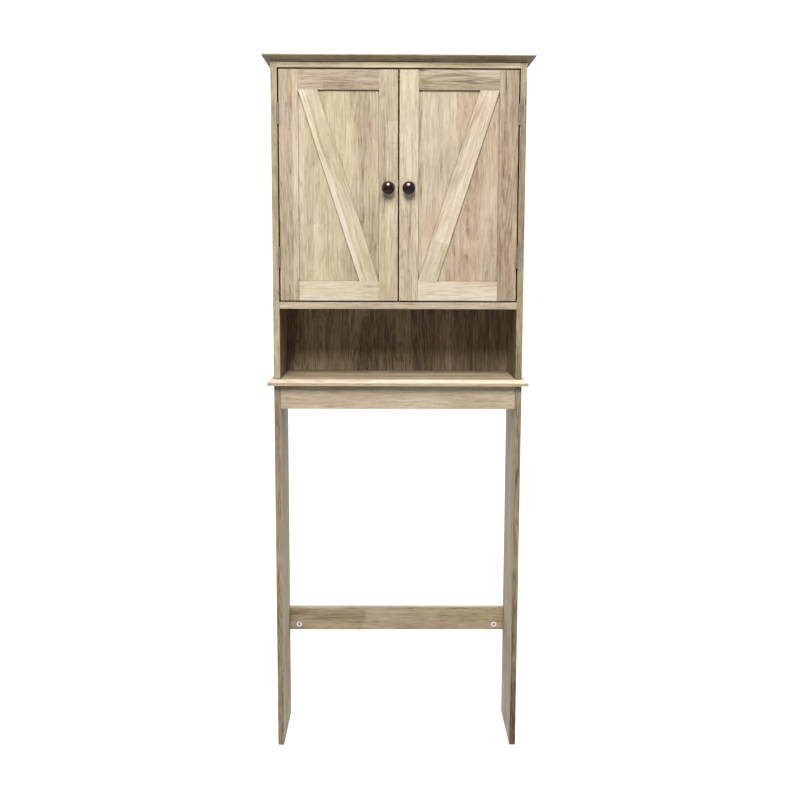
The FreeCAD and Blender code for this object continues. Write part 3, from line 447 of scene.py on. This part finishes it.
UPRIGHT = 0.0
LEVEL = -math.pi / 2
GRAIN_TURNS = {
    "cornice_board": LEVEL, "top_panel": LEVEL, "middle_shelf": LEVEL, "base_board": LEVEL,
    "adjustable_shelf": LEVEL, "apron": LEVEL, "stretcher": LEVEL,
    "left_upper_side": UPRIGHT, "right_upper_side": UPRIGHT, "back_panel": UPRIGHT,
    "left_leg": UPRIGHT, "right_leg": UPRIGHT,
}
for side, tilt in (("left", BRACE_TILT), ("right", -BRACE_TILT)):
    GRAIN_TURNS[f"{side}_door_panel"] = UPRIGHT
    GRAIN_TURNS[f"{side}_hinge_stile"] = UPRIGHT
    GRAIN_TURNS[f"{side}_meeting_stile"] = UPRIGHT
    GRAIN_TURNS[f"{side}_top_rail"] = LEVEL
    GRAIN_TURNS[f"{side}_bottom_rail"] = LEVEL
    GRAIN_TURNS[f"{side}_brace"] = tilt

PRINT_SEED = 7
PRINT_SPREAD = 4.0

# How much darker and how much pinker a board's print is than the usual one. The darkening is partly
# the board's own tone and partly painted shade and light: it sets how bright each board looks where
# it stands, the cornice and the back panel darkest for the shade they sit in, and negative values
# paint a board lighter.
TONE_AND_SHADE_DEPTHS = {
    "cornice_board": 0.25, "top_panel": 0.08, "middle_shelf": 0.14, "base_board": 0.11, "apron": 0.14,
    "stretcher": 0.18, "back_panel": 0.44, "left_leg": 0.02, "right_leg": 0.04,
    "left_door_panel": 0.10, "right_door_panel": 0.12,
    "left_hinge_stile": 0.13, "right_hinge_stile": 0.32, "left_meeting_stile": 0.14,
    "left_top_rail": 0.24, "right_top_rail": 0.18,
    "left_bottom_rail": -0.15, "right_bottom_rail": -0.16,
}
WARMTHS = {
    "cornice_board": -0.28, "middle_shelf": -0.15, "stretcher": -0.08, "left_leg": 0.08,
    "right_leg": 0.02, "left_hinge_stile": 0.10, "left_meeting_stile": -0.10, "left_top_rail": 0.10,
    "right_bottom_rail": 0.05,
}
# The base board gets more of the pale edge wear, which also paints a highlight on its top arris.
WEARS_AND_HIGHLIGHTS = {"base_board": 0.9}

# The front edges of upright boards: how much darker and pinker they are than the faces. The darkening
# is painted shade on these edges.
SHADED_EDGE_PRINTS = {
    "left_upper_side": (0.24, -0.34), "right_upper_side": (0.42, -0.24),
    "left_leg": (0.30, -0.25), "right_leg": (0.40, -0.20),
}
# The upper sides have a darker copy of their print on the faces that look in these directions, into
# the niche and the cupboard: painted shade.
SHADED_INNER_WAYS = {"left_upper_side": (1.0, 0.0, 0.0), "right_upper_side": (-1.0, 0.0, 0.0)}
INNER_SHADE_DEPTH = 0.40
# The sloped front edge of the base board looks this way; a paler copy of the board's print on it is a
# painted highlight, the light it catches from above.
SLOPE_WAY = (0.0, -0.62, 0.78)
SLOPE_HIGHLIGHT_DEPTH = -0.22
SLOPE_PRINT_PLACE = (1.7, -0.6, 2.3)

FRONT_WAY = (0.0, -1.0, 0.0)
BACK_WAY = (0.0, 1.0, 0.0)
SAME_WAY = 0.9

PALE_SIDES = {
    "left_hinge_stile": (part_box("left_hinge_stile")[1], (-1.0, 0.0, 0.0)),
    "left_brace": (
        (BRACE_LOW[0], FRONT, BRACE_HIGH[2]),
        (math.cos(BRACE_TILT), 0.0, math.sin(BRACE_TILT))),
}


def wear_only(node, material):
    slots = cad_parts[node].data.materials
    slots.clear()
    slots.append(material)


def wear_where(node, material, chosen):
    """Put a second material on the faces that a test chooses."""
    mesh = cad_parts[node].data
    mesh.materials.append(material)
    index = len(mesh.materials) - 1
    for polygon in mesh.polygons:
        if chosen(polygon):
            polygon.material_index = index


def wear_on_face(node, material, direction):
    """Put a second material on the faces that look in one direction."""
    way = Vector(direction)
    wear_where(node, material, lambda polygon: polygon.normal.dot(way) > SAME_WAY)


def dress_boards():
    draw = random.Random(PRINT_SEED)
    for node, turn in GRAIN_TURNS.items():
        place = tuple(round(draw.uniform(-PRINT_SPREAD, PRINT_SPREAD), 3) for _ in range(3))
        depth = TONE_AND_SHADE_DEPTHS.get(node, 0.0)
        warmth = WARMTHS.get(node, 0.0)
        worn = WEARS_AND_HIGHLIGHTS.get(node, USUAL_WEAR)
        wear_only(node, oak(f"oak_{node}", turn, place, depth, warmth, worn, PALE_SIDES.get(node)))
        if node in SHADED_EDGE_PRINTS:
            darker, pinker = SHADED_EDGE_PRINTS[node]
            shaded_edge = oak(f"edge_{node}", turn, place[::-1], depth + darker, warmth + pinker)
            wear_on_face(node, shaded_edge, FRONT_WAY)
        if node in SHADED_INNER_WAYS:
            shaded = oak(f"inner_{node}", turn, place, depth + INNER_SHADE_DEPTH, warmth)
            wear_on_face(node, shaded, SHADED_INNER_WAYS[node])


def paint_slope_highlight():
    """The base board's sloped edge is paler than the rest of it: a painted highlight."""
    pale = oak("highlit_slope_base_board", LEVEL, SLOPE_PRINT_PLACE, SLOPE_HIGHLIGHT_DEPTH)
    wear_on_face("base_board", pale, SLOPE_WAY)


def dress_back():
    """The back panel is faced on its front only."""
    raw = raw_board("raw_hardboard", base="8a6a48", fleck="6f5238", pale="9c7d5a", along=500.0)
    wear_on_face("back_panel", raw, BACK_WAY)


def dress_fittings():
    bronze = metal("dark_bronze", "3b2a25", "6b5040", roughness=0.28, spots="46332c", spot_mix=0.6,
                   crevice_shade=0.2, Coat_Weight=1.0, Coat_Roughness=0.12)
    hinge = metal("hinge_nickel", "a89e93", "d6cec4", roughness=0.36, spots="8d847b", spot_mix=0.6,
                  plated=0.7, crevice_shade=0.9)
    zinc = metal("zinc_plate", "c9c8c4", "e2e1dd", roughness=0.30, spots="aeb0b0", spot_mix=0.5)
    # Near-white and not metallic: partly the caps' own white, partly a painted highlight.
    cast = metal("white_highlit_zinc", "faf9f6", "fdfcfa", roughness=0.42, spots="ecebe7", spot_mix=0.5,
                 bump=0.00008, plated=0.0, crevice_shade=1.0)
    steel = metal("magnet_steel", "8d8e90", "b4b5b7", roughness=0.36, spots="77787b", spot_mix=0.5)
    beech = raw_board("beech_dowel", base="d3b083", fleck="bd9667", pale="dfc199", along=60.0)
    brown = plastic("brown_plastic", "4a3527", "3c2a1f", roughness=0.48)
    white = plastic("white_plastic", "e6e5e0", "d6d4cd", roughness=0.45)
    wearers = {
        "hinge_frame_leaves": hinge, "hinge_pins": hinge, "hinge_frame_screws": hinge,
        "cam_locks": zinc, "cam_bolts": zinc, "base_bolts": zinc, "cornice_screws": zinc,
        "catch_screws": zinc, "wall_brackets": zinc, "wall_bracket_screws": zinc, "shelf_pins": zinc,
        "catch_magnets": steel, "dowels": beech, "catch_body": brown, "foot_glides": white,
    }
    for side in ("left", "right"):
        wearers[f"{side}_knob"] = bronze
        for piece in ("hinge_leaves", "hinge_screws"):
            wearers[f"{side}_{piece}"] = hinge
        for piece in ("knob_screw", "strike_plate", "strike_screw"):
            wearers[f"{side}_{piece}"] = zinc
    for node, material in wearers.items():
        wear_only(node, material)
    # The stretcher's cam locks, the lowest ones, have a near-white finish, which also paints the
    # highlight they catch.
    stretcher_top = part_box("stretcher")[1][2]
    wear_where("cam_locks", cast, lambda polygon: polygon.center.z < stretcher_top)


dress_boards()
paint_slope_highlight()
dress_back()
dress_fittings()

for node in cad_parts.values():
    mesh = node.data
    mesh.polygons.foreach_set("use_smooth", [True] * len(mesh.polygons))
    mesh.set_sharp_from_angle(angle=SHARP_ANGLE)


# ------------------------------------------------------------------ stage, light, camera

FLOOR_SPAN = 30.0
FLOOR_GREY = (0.5, 0.5, 0.5, 1.0)
FLOOR_GLOW = 0.86
FLOOR_BOUNCE = (0.30, 0.30, 0.30, 1.0)

# The world's light by direction: it grows from one strength to another between two values of
# the direction's Y, Z or sideways part.
BEHIND_GLOW = {"low": -0.3, "high": 0.5, "new_low": 0.04, "new_high": 1.3}
ABOVE_GLOW = {"low": 0.55, "high": 0.9, "new_low": 0.0, "new_high": 0.55}
BESIDE_GLOW = {"low": 0.5, "high": 0.9, "new_low": 0.0, "new_high": 0.75}
COOL = (0.86, 0.91, 1.0, 1.0)


def make_floor():
    """A floor that looks near-white to the camera and throws less light on the cabinet."""
    mesh = bpy.data.meshes.new("floor")
    corners = [(x * FLOOR_SPAN, y * FLOOR_SPAN, 0.0) for x, y in ((-1, -1), (1, -1), (1, 1), (-1, 1))]
    mesh.from_pydata(corners, [], [(0, 1, 2, 3)])
    floor = bpy.data.objects.new("floor", mesh)
    bpy.context.scene.collection.objects.link(floor)
    material, g = new_material("pale_floor")
    seen = g.add("ShaderNodeBsdfPrincipled", {
        "Base Color": FLOOR_GREY, "Roughness": 1.0, "Specular IOR Level": 0.0,
        "Emission Color": WHITE, "Emission Strength": FLOOR_GLOW})
    bounced = g.add("ShaderNodeBsdfDiffuse", {"Color": FLOOR_BOUNCE})
    path = g.add("ShaderNodeLightPath")
    shader = g.add("ShaderNodeMixShader", {
        0: path.outputs["Is Camera Ray"], 1: bounced.outputs[0], 2: seen.outputs[0]})
    g.add("ShaderNodeOutputMaterial", {"Surface": shader.outputs[0]})
    mesh.materials.append(material)


def make_light(name, place, target, power, wide, tall):
    data = bpy.data.lights.new(name, "AREA")
    data.shape = "RECTANGLE"
    data.size = wide
    data.size_y = tall
    data.energy = power
    light = bpy.data.objects.new(name, data)
    bpy.context.scene.collection.objects.link(light)
    light.location = place
    light.rotation_euler = (Vector(target) - Vector(place)).to_track_quat("-Z", "Y").to_euler()


def make_world():
    """A room that is white to the camera and lights the cabinet from behind, above and both sides."""
    world = bpy.data.worlds.new("studio")
    world.use_nodes = True
    world.node_tree.nodes.clear()
    g = Graph(world.node_tree)
    direction = g.add("ShaderNodeTexCoord").outputs["Generated"]
    way = g.add("ShaderNodeSeparateXYZ", {0: direction}).outputs
    behind = g.spread(way["Y"], **BEHIND_GLOW)
    above = g.spread(way["Z"], **ABOVE_GLOW)
    beside = g.spread(g.math("ABSOLUTE", way["X"]), **BESIDE_GLOW)
    lighting = g.math("ADD", g.math("MAXIMUM", behind, above), beside)
    path = g.add("ShaderNodeLightPath").outputs["Is Camera Ray"]
    strength = g.math("MAXIMUM", lighting, path)
    colour = g.mix(path, COOL, WHITE)
    background = g.add("ShaderNodeBackground", {"Color": colour, "Strength": strength})
    g.add("ShaderNodeOutputWorld", {"Surface": background.outputs[0]})
    bpy.context.scene.world = world


def make_camera():
    data = bpy.data.cameras.new("camera")
    data.sensor_width = SENSOR_MM
    data.lens = LENS_MM
    data.clip_start = CLIP_NEAR
    data.clip_end = CLIP_FAR
    camera = bpy.data.objects.new("camera", data)
    bpy.context.scene.collection.objects.link(camera)
    place = (CAMERA_ASIDE, FRONT - CAMERA_DISTANCE, CAMERA_HIGH)
    turn = (Matrix.Rotation(-CAMERA_YAW, 4, "Z")
            @ Matrix.Rotation(math.pi / 2 - CAMERA_PITCH, 4, "X")
            @ Matrix.Rotation(CAMERA_ROLL, 4, "Z"))
    camera.matrix_world = Matrix.Translation(place) @ turn
    bpy.context.scene.camera = camera


make_floor()
make_world()
make_light("key", place=(-0.2, -3.2, 4.0), target=(0.0, 0.0, 1.1), power=193.0, wide=1.6, tall=1.9)
make_light("fill", place=(0.8, -3.0, 1.2), target=(0.0, 0.0, 0.6), power=1.0, wide=2.0, tall=1.6)
make_camera()
bpy.context.scene.view_settings.view_transform = "Standard"
